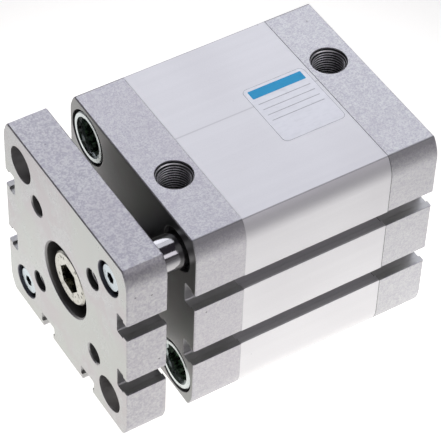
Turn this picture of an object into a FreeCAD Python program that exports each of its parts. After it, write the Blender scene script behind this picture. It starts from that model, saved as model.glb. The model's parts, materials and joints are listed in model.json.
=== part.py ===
"""Guided compact pneumatic cylinder: square slotted body, two guide rods and a yoke plate.

Frame: +X runs along the piston rod, outward to the yoke plate, and +Z is up, with both air
ports on top. The origin is the centre of the rear mounting face. Sizes are millimetres, and
the cylinder is drawn retracted. Threads are drawn plain, at their nominal size.
"""
import FreeCAD, Part
import math
import os

# ---- sizes that set the cylinder -------------------------------------------------------------
BORE = 50.0                  # piston bore
STROKE = 30.0                # travel of the piston, the rods and the yoke plate
CAP_LENGTH = 15.0            # each end cap, along the axis
PLATE_GAP = 8.3              # air between the bearing cap and the retracted yoke plate
PLATE_THICK = 12.0
EDGE_BREAK = 0.3             # broken edge round the end faces

# ---- common cross-section --------------------------------------------------------------------
CORNER_R = 9.5               # round corner, tangent to the side face
CREASE_INSET = 2.55          # the flat top and bottom cut the round this far in from the side
SLOT_PITCH = 22.2            # between the two sensor slots of one face
SLOT_DEPTH = 5.2
SLOT_WALL = 2.55             # between a slot's floor and the bore
SLOT_LIP = 2.0               # thickness of the lips that narrow the mouth
BARREL_MOUTH = 5.3           # slot mouth in the drawn barrel
CAST_MOUTH = 5.7             # slot mouth in the caps and the plate, a little wider
SLOT_UNDERCUT = 0.95         # behind each lip of the barrel
SLOT_ROUND = 0.8             # corners of the slot's floor
SLOT_SIDES = (0, 180, -90)   # turns from +Y: both side faces and the underside
CUT_PAST = 1.0               # how far a cutter runs past the face that it leaves

# ---- collar screws ---------------------------------------------------------------------------
COLLAR_THREAD_R = 4.0        # M8 inside the collar screw, nominal
COLLAR_THREAD_LENGTH = 13.0
COLLAR_WALL = 1.5            # shank round that thread
COLLAR_HEAD_R = 7.5
COLLAR_HEAD_LENGTH = 8.0
COLLAR_LENGTH = 25.0         # from the head's face to the tip
COLLAR_INSET = 0.1           # head face below the cap face
COLLAR_CHAMFER = 0.3
COLLAR_POCKET_GAP = 0.8      # radial gap between the head and its counterbore
CHANNEL_WALL = 2.38          # barrel between the bore and a screw's channel
SHANK_GAP = 0.15             # radial gap round a screw shank
SOCKET_STEP = 1.2            # lobed socket's inner radius beyond the thread
SOCKET_LOBE_HEIGHT = 0.7     # from the socket's inner radius to its lobe tips
SOCKET_LOBE_R = 0.5          # round of a lobe's tip
SOCKET_MOUTH_STEP = 0.2      # the round mouth over the lobes is this much wider than their tips
SOCKET_MOUTH_DEPTH = 1.0
SOCKET_DEPTH = 4.5
SOCKET_LOBES = 12

# ---- ports -----------------------------------------------------------------------------------
PORT_R = 4.864               # G1/8, nominal
PORT_DEPTH = 13.5
PORT_SINK = 0.386            # countersink over the thread, as deep as it is wide
PORT_MOUTH_DEPTH = 0.75      # plain round mouth above that countersink
PORT_INSET = 8.2             # port axis from the outer face of its cap
PORT_SHIFT = 8.0             # port axis to the side of the middle, opposite at the two ends
PASSAGE_R = 2.0              # air passage from the port to the bore
PASSAGE_RISE = 0.75          # passage axis above the port's floor

# ---- guides ----------------------------------------------------------------------------------
GUIDE_R = 5.0
RUNNING_GAP = 0.03           # radial gap of a rod in its bush
GUIDE_BUSH_WALL = 1.0
GUIDE_BUSH_LENGTH = 10.0
GUIDE_WIPER_WALL = 1.5       # wiper's outer radius beyond the rod
GUIDE_WIPER_THICK = 3.6
WIPER_GAP = 0.05             # radial gap of wipers, seals and the guide band
GUIDE_CHANNEL_GAP = 0.5      # radial gap round the guide's tail, in the barrel
GUIDE_TAIL = 2.0             # from the rear collar screw's tip to the guide's tail
GUIDE_SEAT_DEPTH = 3.0       # guide rod let into the plate
GUIDE_CHAMFER = 0.6

# ---- piston rod ------------------------------------------------------------------------------
ROD_R = 8.0
ROD_BUSH_WALL = 1.0
ROD_BUSH_LENGTH = 9.0
ROD_SEAL_WALL = 4.0          # seal's outer radius beyond the rod
ROD_SEAL_DEPTH = 5.5         # pocket for the rod seal
ROD_SEAL_THICK = 5.0
ROD_LIP_HEIGHT = 1.2         # the wiper lip that stands out of the seal's face
ROD_LIP_SPREAD = 1.0         # how much thicker the lip is at its foot
ROD_SEAT_DEPTH = 1.0         # rod let into the plate
ROD_CHAMFER = 0.5
JOURNAL_STEP = 2.0           # the rod is this much thinner where it carries the piston
SEAT_GAP = 0.05              # radial gap of a seated rod end

# ---- piston group ----------------------------------------------------------------------------
SPIGOT_LENGTH = 1.0          # cap register that enters the bore
SPIGOT_GAP = 0.05
STOP_GAP = 0.3               # from a buffer to its cap at either end of the stroke
BUFFER_PROUD = 1.0
BUFFER_SUNK = 0.6
BUFFER_IN_R = 13.0
BUFFER_WIDTH = 6.0
PISTON_GAP = 0.4             # radial gap of the piston's metal in the bore
SEAL_EDGE = 0.9              # piston metal outside the seal groove
SEAL_WIDTH = 2.0
SEAL_LAND = 0.7              # piston metal between the seal and the guide band
SEAL_HEIGHT = 3.0            # seal groove's floor below the bore
SEAL_LIP_THICK = 0.9
BAND_WIDTH = 3.2             # guide band
BAND_THICK = 1.0
MAGNET_WIDTH = 3.0
MAGNET_THICK = 4.95
ROD_RING_WIRE_R = 0.9        # o-ring between the rod and the piston
ROD_RING_OFFSET = 1.0        # its groove starts this far in front of the piston's joint
NUT_ACROSS_FLATS = 19.0
NUT_HEIGHT = 3.5
NUT_ROD_END = 0.6            # rod thread that stands out of the nut
NUT_POCKET_GAP = 1.0         # room round and behind the nut, in the end cap
CAP_RING_WIRE_R = 0.7        # o-ring between a cap and the barrel
CAP_RING_STEP = 1.5          # radial step at the barrel's mouth that holds it
RING_SIDES = 8               # flats of an o-ring's section, pressed into its groove

# ---- yoke plate ------------------------------------------------------------------------------
ACCESS_GAP = 1.5             # the holes that reach the collar screws, round their thread
TAP_PITCH = 30.0             # square of the tapped and dowel holes
TAP_R = 3.0                  # M6, nominal
DOWEL_R = 3.0
HOLE_SINK = 0.35             # countersink at those holes
YOKE_SCREW_R = 5.0           # M10, nominal
YOKE_SCREW_GRIP = 3.4        # plate under the middle screw's head
YOKE_SCREW_LENGTH = 22.0
YOKE_HEAD_R = 8.0
YOKE_HEAD_HEIGHT = 6.5
YOKE_HEAD_SOCKET = 8.0       # across flats
YOKE_HEAD_SOCKET_DEPTH = 3.8
YOKE_HEAD_TURN = 19.0        # degrees, how its socket came to stand when it was tightened
YOKE_POCKET_GAP = 3.0        # radial gap between the head and its pocket
YOKE_POCKET_SINK = 0.5       # chamfer at the mouth of the middle pocket
GUIDE_SCREW_R = 2.5          # M5, nominal
GUIDE_SCREW_LENGTH = 16.0
GUIDE_HEAD_R = 4.25
GUIDE_HEAD_HEIGHT = 3.5
GUIDE_HEAD_SOCKET = 3.0
GUIDE_HEAD_SOCKET_DEPTH = 2.0
GUIDE_POCKET_GAP = 0.75
GUIDE_HEAD_TURN = 0.0
GUIDE_POCKET_DEPTH = 4.2
GUIDE_POCKET_SINK = 0.3
HEAD_CHAMFER = 0.5
TAP_RUNOUT = 2.0             # thread depth beyond the screw's tip

# ---- rear centring ---------------------------------------------------------------------------
CENTRING_R = 6.0
CENTRING_DEPTH = 2.6

# ---- what follows from them ------------------------------------------------------------------
PISTON_LENGTH = 2 * (SEAL_EDGE + SEAL_WIDTH + SEAL_LAND) + BAND_WIDTH
BARREL_LENGTH = STROKE + PISTON_LENGTH + 2 * (BUFFER_PROUD + STOP_GAP + SPIGOT_LENGTH)
BARREL_START = CAP_LENGTH
BARREL_END = BARREL_START + BARREL_LENGTH
BODY_LENGTH = BARREL_END + CAP_LENGTH
PLATE_BACK = BODY_LENGTH + PLATE_GAP
PLATE_FRONT = PLATE_BACK + PLATE_THICK
CHAMBER_START = BARREL_START + SPIGOT_LENGTH
CHAMBER_END = BARREL_END - SPIGOT_LENGTH
PISTON_BACK = CHAMBER_START + STOP_GAP + BUFFER_PROUD
PISTON_MIDDLE = PISTON_BACK + PISTON_LENGTH / 2
PISTON_FRONT = PISTON_BACK + PISTON_LENGTH
NUT_BACK = PISTON_BACK - NUT_HEIGHT
ROD_BACK = NUT_BACK - NUT_ROD_END
ROD_FRONT = PLATE_BACK + ROD_SEAT_DEPTH
GUIDE_BACK = COLLAR_INSET + COLLAR_LENGTH + GUIDE_TAIL
GUIDE_FRONT = PLATE_BACK + GUIDE_SEAT_DEPTH
YOKE_SEAT = ROD_FRONT + YOKE_SCREW_GRIP
GUIDE_SCREW_SEAT = PLATE_FRONT - GUIDE_POCKET_DEPTH
ROD_SEAL_BACK = BODY_LENGTH - ROD_SEAL_DEPTH
GUIDE_WIPER_BACK = BARREL_END + GUIDE_BUSH_LENGTH
BORE_R = BORE / 2
HALF = BORE_R + SLOT_WALL + SLOT_DEPTH
COLLAR_SHANK_R = COLLAR_THREAD_R + COLLAR_WALL
SOCKET_ROOT_R = COLLAR_THREAD_R + SOCKET_STEP
SOCKET_TIP_R = SOCKET_ROOT_R + SOCKET_LOBE_HEIGHT
CORNER = (BORE_R + CHANNEL_WALL + COLLAR_SHANK_R) / math.sqrt(2)
JOURNAL_R = ROD_R - JOURNAL_STEP
BAND_R = BORE_R - WIPER_GAP
MAGNET_R = BAND_R - BAND_THICK

# The guides stand on one diagonal and the two front collar screws on the other.
GUIDE_CORNERS = ((CORNER, CORNER), (-CORNER, -CORNER))
SCREW_CORNERS = ((-CORNER, CORNER), (CORNER, -CORNER))
ALONG = FreeCAD.Vector(1, 0, 0)
ORIGIN = FreeCAD.Vector(0, 0, 0)


# ---- building blocks -------------------------------------------------------------------------
def cylinder(start, end, radius, centre=(0, 0)):
    """A cylinder along X between two places in either order, with its axis at centre (y, z)."""
    back = min(start, end)
    return Part.makeCylinder(radius, abs(end - start), FreeCAD.Vector(back, *centre), ALONG)


def ring(start, end, inner, outer, centre=(0, 0)):
    return cylinder(start, end, outer, centre).cut(cylinder(start, end, inner, centre))


def turned(points, centre=(0, 0)):
    """A turned piece about an axis along X, from the (x, radius) points of its section."""
    corners = [FreeCAD.Vector(x, 0, radius) for x, radius in points]
    face = Part.Face(Part.makePolygon(corners + corners[:1]))
    solid = face.revolve(ORIGIN, ALONG, 360)
    solid.translate(FreeCAD.Vector(0, *centre))
    return solid


def hexagon(start, end, across_flats, turn=0.0, centre=(0, 0)):
    """A hexagonal prism along X, turned from where two of its corners are above and below the axis."""
    radius = across_flats / math.sqrt(3)
    corners = []
    for step in range(7):
        angle = math.radians(60 * step - turn)
        y = centre[0] + radius * math.sin(angle)
        z = centre[1] + radius * math.cos(angle)
        corners.append(FreeCAD.Vector(start, y, z))
    return Part.Face(Part.makePolygon(corners)).extrude(ALONG * (end - start))


def o_ring(x, wire_r, inner_r):
    """An o-ring round the axis, pressed flat against the walls of its groove."""
    corner_r = wire_r / math.cos(math.pi / RING_SIDES)
    section = []
    for side in range(RING_SIDES):
        angle = math.pi * (2 * side + 1) / RING_SIDES
        section.append((x + corner_r * math.cos(angle), inner_r + wire_r + corner_r * math.sin(angle)))
    return turned(section)


def lobed_socket(start, end, centre):
    """A many-lobed socket along X: round lobes joined by tangent hollows."""
    lobe_centre = SOCKET_TIP_R - SOCKET_LOBE_R
    half_step = math.pi / SOCKET_LOBES
    reach = lobe_centre * math.cos(half_step)
    hollow_r = lobe_centre ** 2 + SOCKET_ROOT_R ** 2 - 2 * SOCKET_ROOT_R * reach - SOCKET_LOBE_R ** 2
    hollow_r /= 2 * (SOCKET_LOBE_R - SOCKET_ROOT_R + reach)
    hollow_centre = SOCKET_ROOT_R + hollow_r
    rise = hollow_centre * math.sin(half_step)
    lean = math.atan2(rise, hollow_centre * math.cos(half_step) - lobe_centre)
    join_along = lobe_centre + SOCKET_LOBE_R * math.cos(lean)
    join_across = SOCKET_LOBE_R * math.sin(lean)
    join_r = math.hypot(join_along, join_across)
    join_angle = math.atan2(join_across, join_along)
    back = min(start, end)

    def at(radius, angle):
        across = radius * math.cos(angle)
        return FreeCAD.Vector(back, centre[0] + across, centre[1] + radius * math.sin(angle))

    edges = []
    for lobe in range(SOCKET_LOBES):
        turn = 2 * half_step * lobe
        lobe_start = at(join_r, turn - join_angle)
        lobe_end = at(join_r, turn + join_angle)
        next_start = at(join_r, turn + 2 * half_step - join_angle)
        edges.append(Part.Arc(lobe_start, at(SOCKET_TIP_R, turn), lobe_end).toShape())
        edges.append(Part.Arc(lobe_end, at(SOCKET_ROOT_R, turn + half_step), next_start).toShape())
    return Part.Face(Part.Wire(edges)).extrude(ALONG * abs(end - start))


def outline(x):
    """The face of the common cross-section: creased flats and round corners."""
    flat = HALF - CREASE_INSET
    arc_y = HALF - CORNER_R
    arc_z = HALF - math.sqrt(CORNER_R ** 2 - (flat - arc_y) ** 2)
    middle = math.atan2(HALF - arc_z, flat - arc_y) / 2
    arc_middle = (arc_y + CORNER_R * math.cos(middle), arc_z + CORNER_R * math.sin(middle))
    corner = ((HALF, arc_z), arc_middle, (flat, HALF))
    corners = []
    for side, up in ((1, 1), (-1, 1), (-1, -1), (1, -1)):
        points = [FreeCAD.Vector(x, side * y, up * z) for y, z in corner]
        corners.append(points if side == up else points[::-1])
    edges = []
    for here, following in zip(corners, corners[1:] + corners[:1]):
        edges.append(Part.Arc(*here).toShape())
        edges.append(Part.LineSegment(here[-1], following[0]).toShape())
    return Part.Face(Part.Wire(edges))


def slot_section(x, mouth):
    """The section of a T slot in the +Y face, centred on z = 0."""
    floor = HALF - SLOT_DEPTH
    lip = HALF - SLOT_LIP
    outside = HALF + CUT_PAST
    half_mouth = mouth / 2
    half_width = BARREL_MOUTH / 2 + SLOT_UNDERCUT
    bend = SLOT_ROUND * (1 - math.sqrt(0.5))

    def at(y, z):
        return FreeCAD.Vector(x, y, z)

    def floor_round(up):
        wall_end = at(floor + SLOT_ROUND, up * half_width)
        floor_end = at(floor, up * (half_width - SLOT_ROUND))
        return wall_end, at(floor + bend, up * (half_width - bend)), floor_end

    upper = floor_round(1)
    lower = floor_round(-1)
    above = [at(outside, half_mouth), at(lip, half_mouth), at(lip, half_width), upper[0]]
    below = [lower[0], at(lip, -half_width), at(lip, -half_mouth), at(outside, -half_mouth)]
    edges = Part.makePolygon(above).Edges
    edges.append(Part.Arc(*upper).toShape())
    edges.append(Part.LineSegment(upper[2], lower[2]).toShape())
    edges.append(Part.Arc(*lower).toShape())
    edges += Part.makePolygon(below + above[:1]).Edges
    return Part.Face(Part.Wire(Part.__sortEdges__(edges)))


def slots(start, end, mouth):
    """The six sensor slots: two in each side face and two underneath."""
    cutters = []
    for turn in SLOT_SIDES:
        for shift in (-SLOT_PITCH / 2, SLOT_PITCH / 2):
            section = slot_section(start, mouth)
            section.translate(FreeCAD.Vector(0, 0, shift))
            section.rotate(ORIGIN, ALONG, turn)
            cutters.append(section.extrude(ALONG * (end - start)))
    return cutters


def slotted_block(start, end, mouth, broken=()):
    """A length of the common cross-section with its slots; broken lists the ends with broken edges."""
    block = outline(start).extrude(ALONG * (end - start))
    for face_x in broken:
        rims = [edge for edge in block.Edges if abs(edge.BoundBox.XMax - face_x) < EDGE_BREAK / 2
                and edge.BoundBox.XLength < EDGE_BREAK / 2]
        block = block.makeChamfer(EDGE_BREAK, rims)
    return block.cut(slots(start - CUT_PAST, end + CUT_PAST, mouth))


def spigot(start, end):
    return cylinder(start, end, BORE_R - SPIGOT_GAP)


def port_cutters(x, y, chamber):
    """A threaded port from the top, and its passage along X to the chamber face."""
    floor = HALF - PORT_DEPTH
    ledge = HALF - PORT_MOUTH_DEPTH
    mouth_r = PORT_R + PORT_SINK
    bore = Part.makeCylinder(PORT_R, PORT_DEPTH, FreeCAD.Vector(x, y, floor))
    sink = Part.makeCone(PORT_R, mouth_r, PORT_SINK, FreeCAD.Vector(x, y, ledge - PORT_SINK))
    mouth = Part.makeCylinder(mouth_r, PORT_MOUTH_DEPTH, FreeCAD.Vector(x, y, ledge))
    return [bore, sink, mouth, cylinder(x, chamber, PASSAGE_R, (y, floor + PASSAGE_RISE))]


def collar_cutters(face, into, centre):
    """Counterbore and shank hole for a collar screw: from the cap face at x = face, along into."""
    seat = face + into * (COLLAR_INSET + COLLAR_HEAD_LENGTH)
    through = face + into * (CAP_LENGTH + CUT_PAST)
    pocket = cylinder(face, seat, COLLAR_HEAD_R + COLLAR_POCKET_GAP, centre)
    return [pocket, cylinder(seat, through, COLLAR_SHANK_R + SHANK_GAP, centre)]


def collar_screw(face, into, centre):
    """A collar screw with a lobed socket and a female thread, its head just below face."""
    top = face + into * COLLAR_INSET
    seat = top + into * COLLAR_HEAD_LENGTH
    tip = top + into * COLLAR_LENGTH
    chamfer = into * COLLAR_CHAMFER
    section = [(top, 0), (top, COLLAR_HEAD_R - COLLAR_CHAMFER), (top + chamfer, COLLAR_HEAD_R)]
    section += [(seat, COLLAR_HEAD_R), (seat, COLLAR_SHANK_R), (tip - chamfer, COLLAR_SHANK_R)]
    section += [(tip, COLLAR_SHANK_R - COLLAR_CHAMFER), (tip, 0)]
    socket_end = top + into * SOCKET_DEPTH
    thread_end = socket_end + into * COLLAR_THREAD_LENGTH
    mouth = cylinder(top, top + into * SOCKET_MOUTH_DEPTH, SOCKET_TIP_R + SOCKET_MOUTH_STEP, centre)
    thread = cylinder(socket_end, thread_end, COLLAR_THREAD_R, centre)
    return turned(section, centre).cut([mouth, lobed_socket(top, socket_end, centre), thread])


def collar_screws(face, into, corners):
    return Part.makeCompound([collar_screw(face, into, corner) for corner in corners])


def low_head_screw(seat, shank_r, length, head_r, height, socket, socket_depth, turn, centre=(0, 0)):
    """A socket screw with a low head: its head stands on x = seat, its shank points back."""
    top = seat + height
    tip = seat - length
    section = [(top, 0), (top, head_r - HEAD_CHAMFER), (top - HEAD_CHAMFER, head_r), (seat, head_r)]
    section += [(seat, shank_r), (tip + HEAD_CHAMFER, shank_r), (tip, shank_r - HEAD_CHAMFER), (tip, 0)]
    return turned(section, centre).cut(hexagon(top - socket_depth, top, socket, turn, centre))


def sunk_hole(floor, radius, sink, centre=(0, 0)):
    """A hole from the plate's front down to x = floor, countersunk at its mouth."""
    lead = PLATE_FRONT - sink
    section = [(floor, 0), (floor, radius), (lead, radius), (PLATE_FRONT, radius + sink), (PLATE_FRONT, 0)]
    return turned(section, centre)


# ---- body ------------------------------------------------------------------------------------
def barrel():
    body = slotted_block(BARREL_START, BARREL_END, BARREL_MOUTH)
    step = 2 * CAP_RING_WIRE_R
    cutters = [cylinder(BARREL_START, BARREL_END, BORE_R)]
    cutters.append(cylinder(BARREL_START, BARREL_START + step, BORE_R + CAP_RING_STEP))
    cutters.append(cylinder(BARREL_END - step, BARREL_END, BORE_R + CAP_RING_STEP))
    for corner in GUIDE_CORNERS + SCREW_CORNERS:
        cutters.append(cylinder(BARREL_START, BARREL_END, COLLAR_SHANK_R, corner))
    for corner in GUIDE_CORNERS:
        cutters.append(cylinder(BARREL_START, BARREL_END, GUIDE_R + GUIDE_CHANNEL_GAP, corner))
    return body.cut(cutters)


def bearing_cap():
    cap = slotted_block(BARREL_END, BODY_LENGTH, CAST_MOUTH, [BODY_LENGTH])
    cap = cap.fuse(spigot(CHAMBER_END, BARREL_END))
    cutters = port_cutters(BODY_LENGTH - PORT_INSET, PORT_SHIFT, CHAMBER_END)
    cutters.append(cylinder(CHAMBER_END, ROD_SEAL_BACK, ROD_R + RUNNING_GAP + ROD_BUSH_WALL))
    cutters.append(cylinder(ROD_SEAL_BACK, BODY_LENGTH, ROD_R + ROD_SEAL_WALL))
    for corner in GUIDE_CORNERS:
        bush_r = GUIDE_R + RUNNING_GAP + GUIDE_BUSH_WALL
        cutters.append(cylinder(BARREL_END, GUIDE_WIPER_BACK, bush_r, corner))
        cutters.append(cylinder(GUIDE_WIPER_BACK, BODY_LENGTH, GUIDE_R + GUIDE_WIPER_WALL, corner))
    for corner in SCREW_CORNERS:
        cutters += collar_cutters(BODY_LENGTH, -1, corner)
    return cap.cut(cutters)


def end_cap():
    cap = slotted_block(0, CAP_LENGTH, CAST_MOUTH, [0])
    cap = cap.fuse(spigot(CAP_LENGTH, CHAMBER_START))
    nut_pocket_r = NUT_ACROSS_FLATS / math.sqrt(3) + NUT_POCKET_GAP
    cutters = port_cutters(PORT_INSET, -PORT_SHIFT, CHAMBER_START)
    cutters.append(cylinder(0, CENTRING_DEPTH, CENTRING_R))
    cutters.append(cylinder(ROD_BACK - NUT_POCKET_GAP, CHAMBER_START, nut_pocket_r))
    for corner in GUIDE_CORNERS + SCREW_CORNERS:
        cutters += collar_cutters(0, 1, corner)
    return cap.cut(cutters)


def cap_seal(x):
    """The o-ring round a cap's spigot, in the step at the barrel's mouth."""
    return o_ring(x, CAP_RING_WIRE_R, BORE_R)


def rod_bush():
    inner = ROD_R + RUNNING_GAP
    return ring(ROD_SEAL_BACK - ROD_BUSH_LENGTH, ROD_SEAL_BACK, inner, inner + ROD_BUSH_WALL)


def rod_seal():
    """The rod seal and wiper, one moulding with its lip turned outward."""
    front = ROD_SEAL_BACK + ROD_SEAL_THICK
    shoulder = front - ROD_LIP_HEIGHT
    outer = ROD_R + ROD_SEAL_WALL
    inner = ROD_R + WIPER_GAP
    lip = inner + SEAL_LIP_THICK
    section = [(ROD_SEAL_BACK, inner), (ROD_SEAL_BACK, outer), (shoulder, outer)]
    section += [(shoulder, lip + ROD_LIP_SPREAD), (front, lip), (front, inner)]
    return turned(section)


def guide_bush(corner):
    inner = GUIDE_R + RUNNING_GAP
    return ring(BARREL_END, GUIDE_WIPER_BACK, inner, inner + GUIDE_BUSH_WALL, corner)


def guide_wiper(corner):
    front = GUIDE_WIPER_BACK + GUIDE_WIPER_THICK
    return ring(GUIDE_WIPER_BACK, front, GUIDE_R + WIPER_GAP, GUIDE_R + GUIDE_WIPER_WALL, corner)


# ---- carriage --------------------------------------------------------------------------------
def yoke_plate():
    plate = slotted_block(PLATE_BACK, PLATE_FRONT, CAST_MOUTH, [PLATE_BACK, PLATE_FRONT])
    cutters = [sunk_hole(YOKE_SEAT, YOKE_HEAD_R + YOKE_POCKET_GAP, YOKE_POCKET_SINK)]
    cutters.append(cylinder(ROD_FRONT, YOKE_SEAT, YOKE_SCREW_R + SHANK_GAP))
    cutters.append(cylinder(PLATE_BACK, ROD_FRONT, ROD_R + SEAT_GAP))
    for corner in GUIDE_CORNERS:
        pocket_r = GUIDE_HEAD_R + GUIDE_POCKET_GAP
        cutters.append(sunk_hole(GUIDE_SCREW_SEAT, pocket_r, GUIDE_POCKET_SINK, corner))
        cutters.append(cylinder(GUIDE_FRONT, GUIDE_SCREW_SEAT, GUIDE_SCREW_R + SHANK_GAP, corner))
        cutters.append(cylinder(PLATE_BACK, GUIDE_FRONT, GUIDE_R + SEAT_GAP, corner))
    for corner in SCREW_CORNERS:
        cutters.append(cylinder(PLATE_BACK, PLATE_FRONT, COLLAR_THREAD_R + ACCESS_GAP, corner))
    for radius, turn in ((TAP_R, 1), (DOWEL_R, -1)):
        for side in (-1, 1):
            centre = (side * TAP_PITCH / 2, turn * side * TAP_PITCH / 2)
            cutters.append(sunk_hole(PLATE_BACK, radius, HOLE_SINK, centre))
    return plate.cut(cutters)


def tapped_end(end, seat, radius, length, centre=(0, 0)):
    """The tapped hole in a rod's front end, for a screw of this length with its head on seat."""
    return cylinder(seat - length - TAP_RUNOUT, end, radius, centre)


def piston_rod():
    section = [(ROD_BACK, 0), (ROD_BACK, JOURNAL_R - ROD_CHAMFER), (ROD_BACK + ROD_CHAMFER, JOURNAL_R)]
    section += [(PISTON_FRONT, JOURNAL_R), (PISTON_FRONT, ROD_R), (ROD_FRONT - ROD_CHAMFER, ROD_R)]
    section += [(ROD_FRONT, ROD_R - ROD_CHAMFER), (ROD_FRONT, 0)]
    return turned(section).cut(tapped_end(ROD_FRONT, YOKE_SEAT, YOKE_SCREW_R, YOKE_SCREW_LENGTH))


def guide_rod(corner):
    section = [(GUIDE_BACK, 0), (GUIDE_BACK, GUIDE_R - GUIDE_CHAMFER)]
    section += [(GUIDE_BACK + GUIDE_CHAMFER, GUIDE_R), (GUIDE_FRONT - GUIDE_CHAMFER, GUIDE_R)]
    section += [(GUIDE_FRONT, GUIDE_R - GUIDE_CHAMFER), (GUIDE_FRONT, 0)]
    tap = tapped_end(GUIDE_FRONT, GUIDE_SCREW_SEAT, GUIDE_SCREW_R, GUIDE_SCREW_LENGTH, corner)
    return turned(section, corner).cut(tap)


def piston_half(outer, into):
    """Half a piston: outer is its outer face, and into points to the joint between the halves."""
    land = BORE_R - PISTON_GAP
    groove = outer + into * SEAL_EDGE
    groove_end = groove + into * SEAL_WIDTH
    groove_r = BORE_R - SEAL_HEIGHT
    band = PISTON_MIDDLE - into * BAND_WIDTH / 2
    magnet = PISTON_MIDDLE - into * MAGNET_WIDTH / 2
    magnet_floor = MAGNET_R - MAGNET_THICK
    buffer_floor = outer + into * BUFFER_SUNK
    buffer_out = BUFFER_IN_R + BUFFER_WIDTH
    section = [(outer, JOURNAL_R), (outer, BUFFER_IN_R), (buffer_floor, BUFFER_IN_R)]
    section += [(buffer_floor, buffer_out), (outer, buffer_out), (outer, land), (groove, land)]
    section += [(groove, groove_r), (groove_end, groove_r), (groove_end, land)]
    section += [(band, land), (band, MAGNET_R), (magnet, MAGNET_R), (magnet, magnet_floor)]
    section += [(PISTON_MIDDLE, magnet_floor), (PISTON_MIDDLE, JOURNAL_R)]
    return turned(section)


def piston_front_half():
    """The front half also holds the o-ring that seals it to the rod."""
    groove = PISTON_MIDDLE + ROD_RING_OFFSET
    width = 2 * ROD_RING_WIRE_R
    return piston_half(PISTON_FRONT, -1).cut(cylinder(groove, groove + width, JOURNAL_R + width))


def rod_o_ring():
    return o_ring(PISTON_MIDDLE + ROD_RING_OFFSET + ROD_RING_WIRE_R, ROD_RING_WIRE_R, JOURNAL_R)


def piston_magnet():
    half_width = MAGNET_WIDTH / 2
    return ring(PISTON_MIDDLE - half_width, PISTON_MIDDLE + half_width, MAGNET_R - MAGNET_THICK, MAGNET_R)


def piston_guide_band():
    half_width = BAND_WIDTH / 2
    return ring(PISTON_MIDDLE - half_width, PISTON_MIDDLE + half_width, MAGNET_R, BAND_R)


def piston_seal(outer, into):
    """A lip seal: a V in section, open towards the air that it holds."""
    face = outer + into * SEAL_EDGE
    heel = face + into * SEAL_WIDTH
    valley = face + into * SEAL_LIP_THICK
    foot_r = BORE_R - SEAL_HEIGHT
    section = [(heel, foot_r), (face, foot_r), (face, foot_r + SEAL_LIP_THICK)]
    section += [(valley, (foot_r + BAND_R) / 2), (face, BAND_R - SEAL_LIP_THICK), (face, BAND_R)]
    section += [(heel, BAND_R - PISTON_GAP)]
    return turned(section)


def buffer_ring(outer, into):
    """An elastic stop let into the piston's face."""
    floor = outer + into * BUFFER_SUNK
    crown = outer - into * BUFFER_PROUD
    return ring(floor, crown, BUFFER_IN_R, BUFFER_IN_R + BUFFER_WIDTH)


def piston_nut():
    return hexagon(NUT_BACK, PISTON_BACK, NUT_ACROSS_FLATS).cut(cylinder(NUT_BACK, PISTON_BACK, JOURNAL_R))


def yoke_screw():
    return low_head_screw(YOKE_SEAT, YOKE_SCREW_R, YOKE_SCREW_LENGTH, YOKE_HEAD_R, YOKE_HEAD_HEIGHT,
                          YOKE_HEAD_SOCKET, YOKE_HEAD_SOCKET_DEPTH, YOKE_HEAD_TURN)


def guide_rod_screws():
    screws = []
    for corner in GUIDE_CORNERS:
        screws.append(low_head_screw(GUIDE_SCREW_SEAT, GUIDE_SCREW_R, GUIDE_SCREW_LENGTH,
                                     GUIDE_HEAD_R, GUIDE_HEAD_HEIGHT, GUIDE_HEAD_SOCKET,
                                     GUIDE_HEAD_SOCKET_DEPTH, GUIDE_HEAD_TURN, corner))
    return Part.makeCompound(screws)


# ---- the assembly ----------------------------------------------------------------------------
UPPER, LOWER = GUIDE_CORNERS
PARTS = {
    "barrel": barrel(),
    "bearing_cap": bearing_cap(),
    "end_cap": end_cap(),
    "bearing_cap_seal": cap_seal(BARREL_END - CAP_RING_WIRE_R),
    "end_cap_seal": cap_seal(BARREL_START + CAP_RING_WIRE_R),
    "rod_bush": rod_bush(),
    "rod_seal": rod_seal(),
    "guide_bush_upper": guide_bush(UPPER),
    "guide_bush_lower": guide_bush(LOWER),
    "guide_wiper_upper": guide_wiper(UPPER),
    "guide_wiper_lower": guide_wiper(LOWER),
    "bearing_cap_screws": collar_screws(BODY_LENGTH, -1, SCREW_CORNERS),
    "end_cap_screws": collar_screws(0, 1, GUIDE_CORNERS + SCREW_CORNERS),
    "yoke_plate": yoke_plate(),
    "piston_rod": piston_rod(),
    "piston_front_half": piston_front_half(),
    "piston_rear_half": piston_half(PISTON_BACK, 1),
    "piston_magnet": piston_magnet(),
    "piston_guide_band": piston_guide_band(),
    "piston_front_seal": piston_seal(PISTON_FRONT, -1),
    "piston_rear_seal": piston_seal(PISTON_BACK, 1),
    "front_buffer": buffer_ring(PISTON_FRONT, -1),
    "rear_buffer": buffer_ring(PISTON_BACK, 1),
    "rod_o_ring": rod_o_ring(),
    "piston_nut": piston_nut(),
    "guide_rod_upper": guide_rod(UPPER),
    "guide_rod_lower": guide_rod(LOWER),
    "yoke_screw": yoke_screw(),
    "guide_rod_screws": guide_rod_screws(),
}

os.makedirs("parts", exist_ok=True)
for name, shape in PARTS.items():
    shape.exportStep("parts/" + name + ".step")
    print(name, "solids", len(shape.Solids), "valid", shape.isValid(), "volume", round(shape.Volume, 1))
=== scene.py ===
"""Finishes and small details of a guided compact pneumatic cylinder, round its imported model.

Frame, in metres: +X runs out along the piston rod, +Z is up. The slotted body with its two caps
is the housing. The yoke plate, the rods and the piston are the carriage.
"""

import json
import math

import bmesh
import bpy
from mathutils import Matrix, Vector


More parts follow.
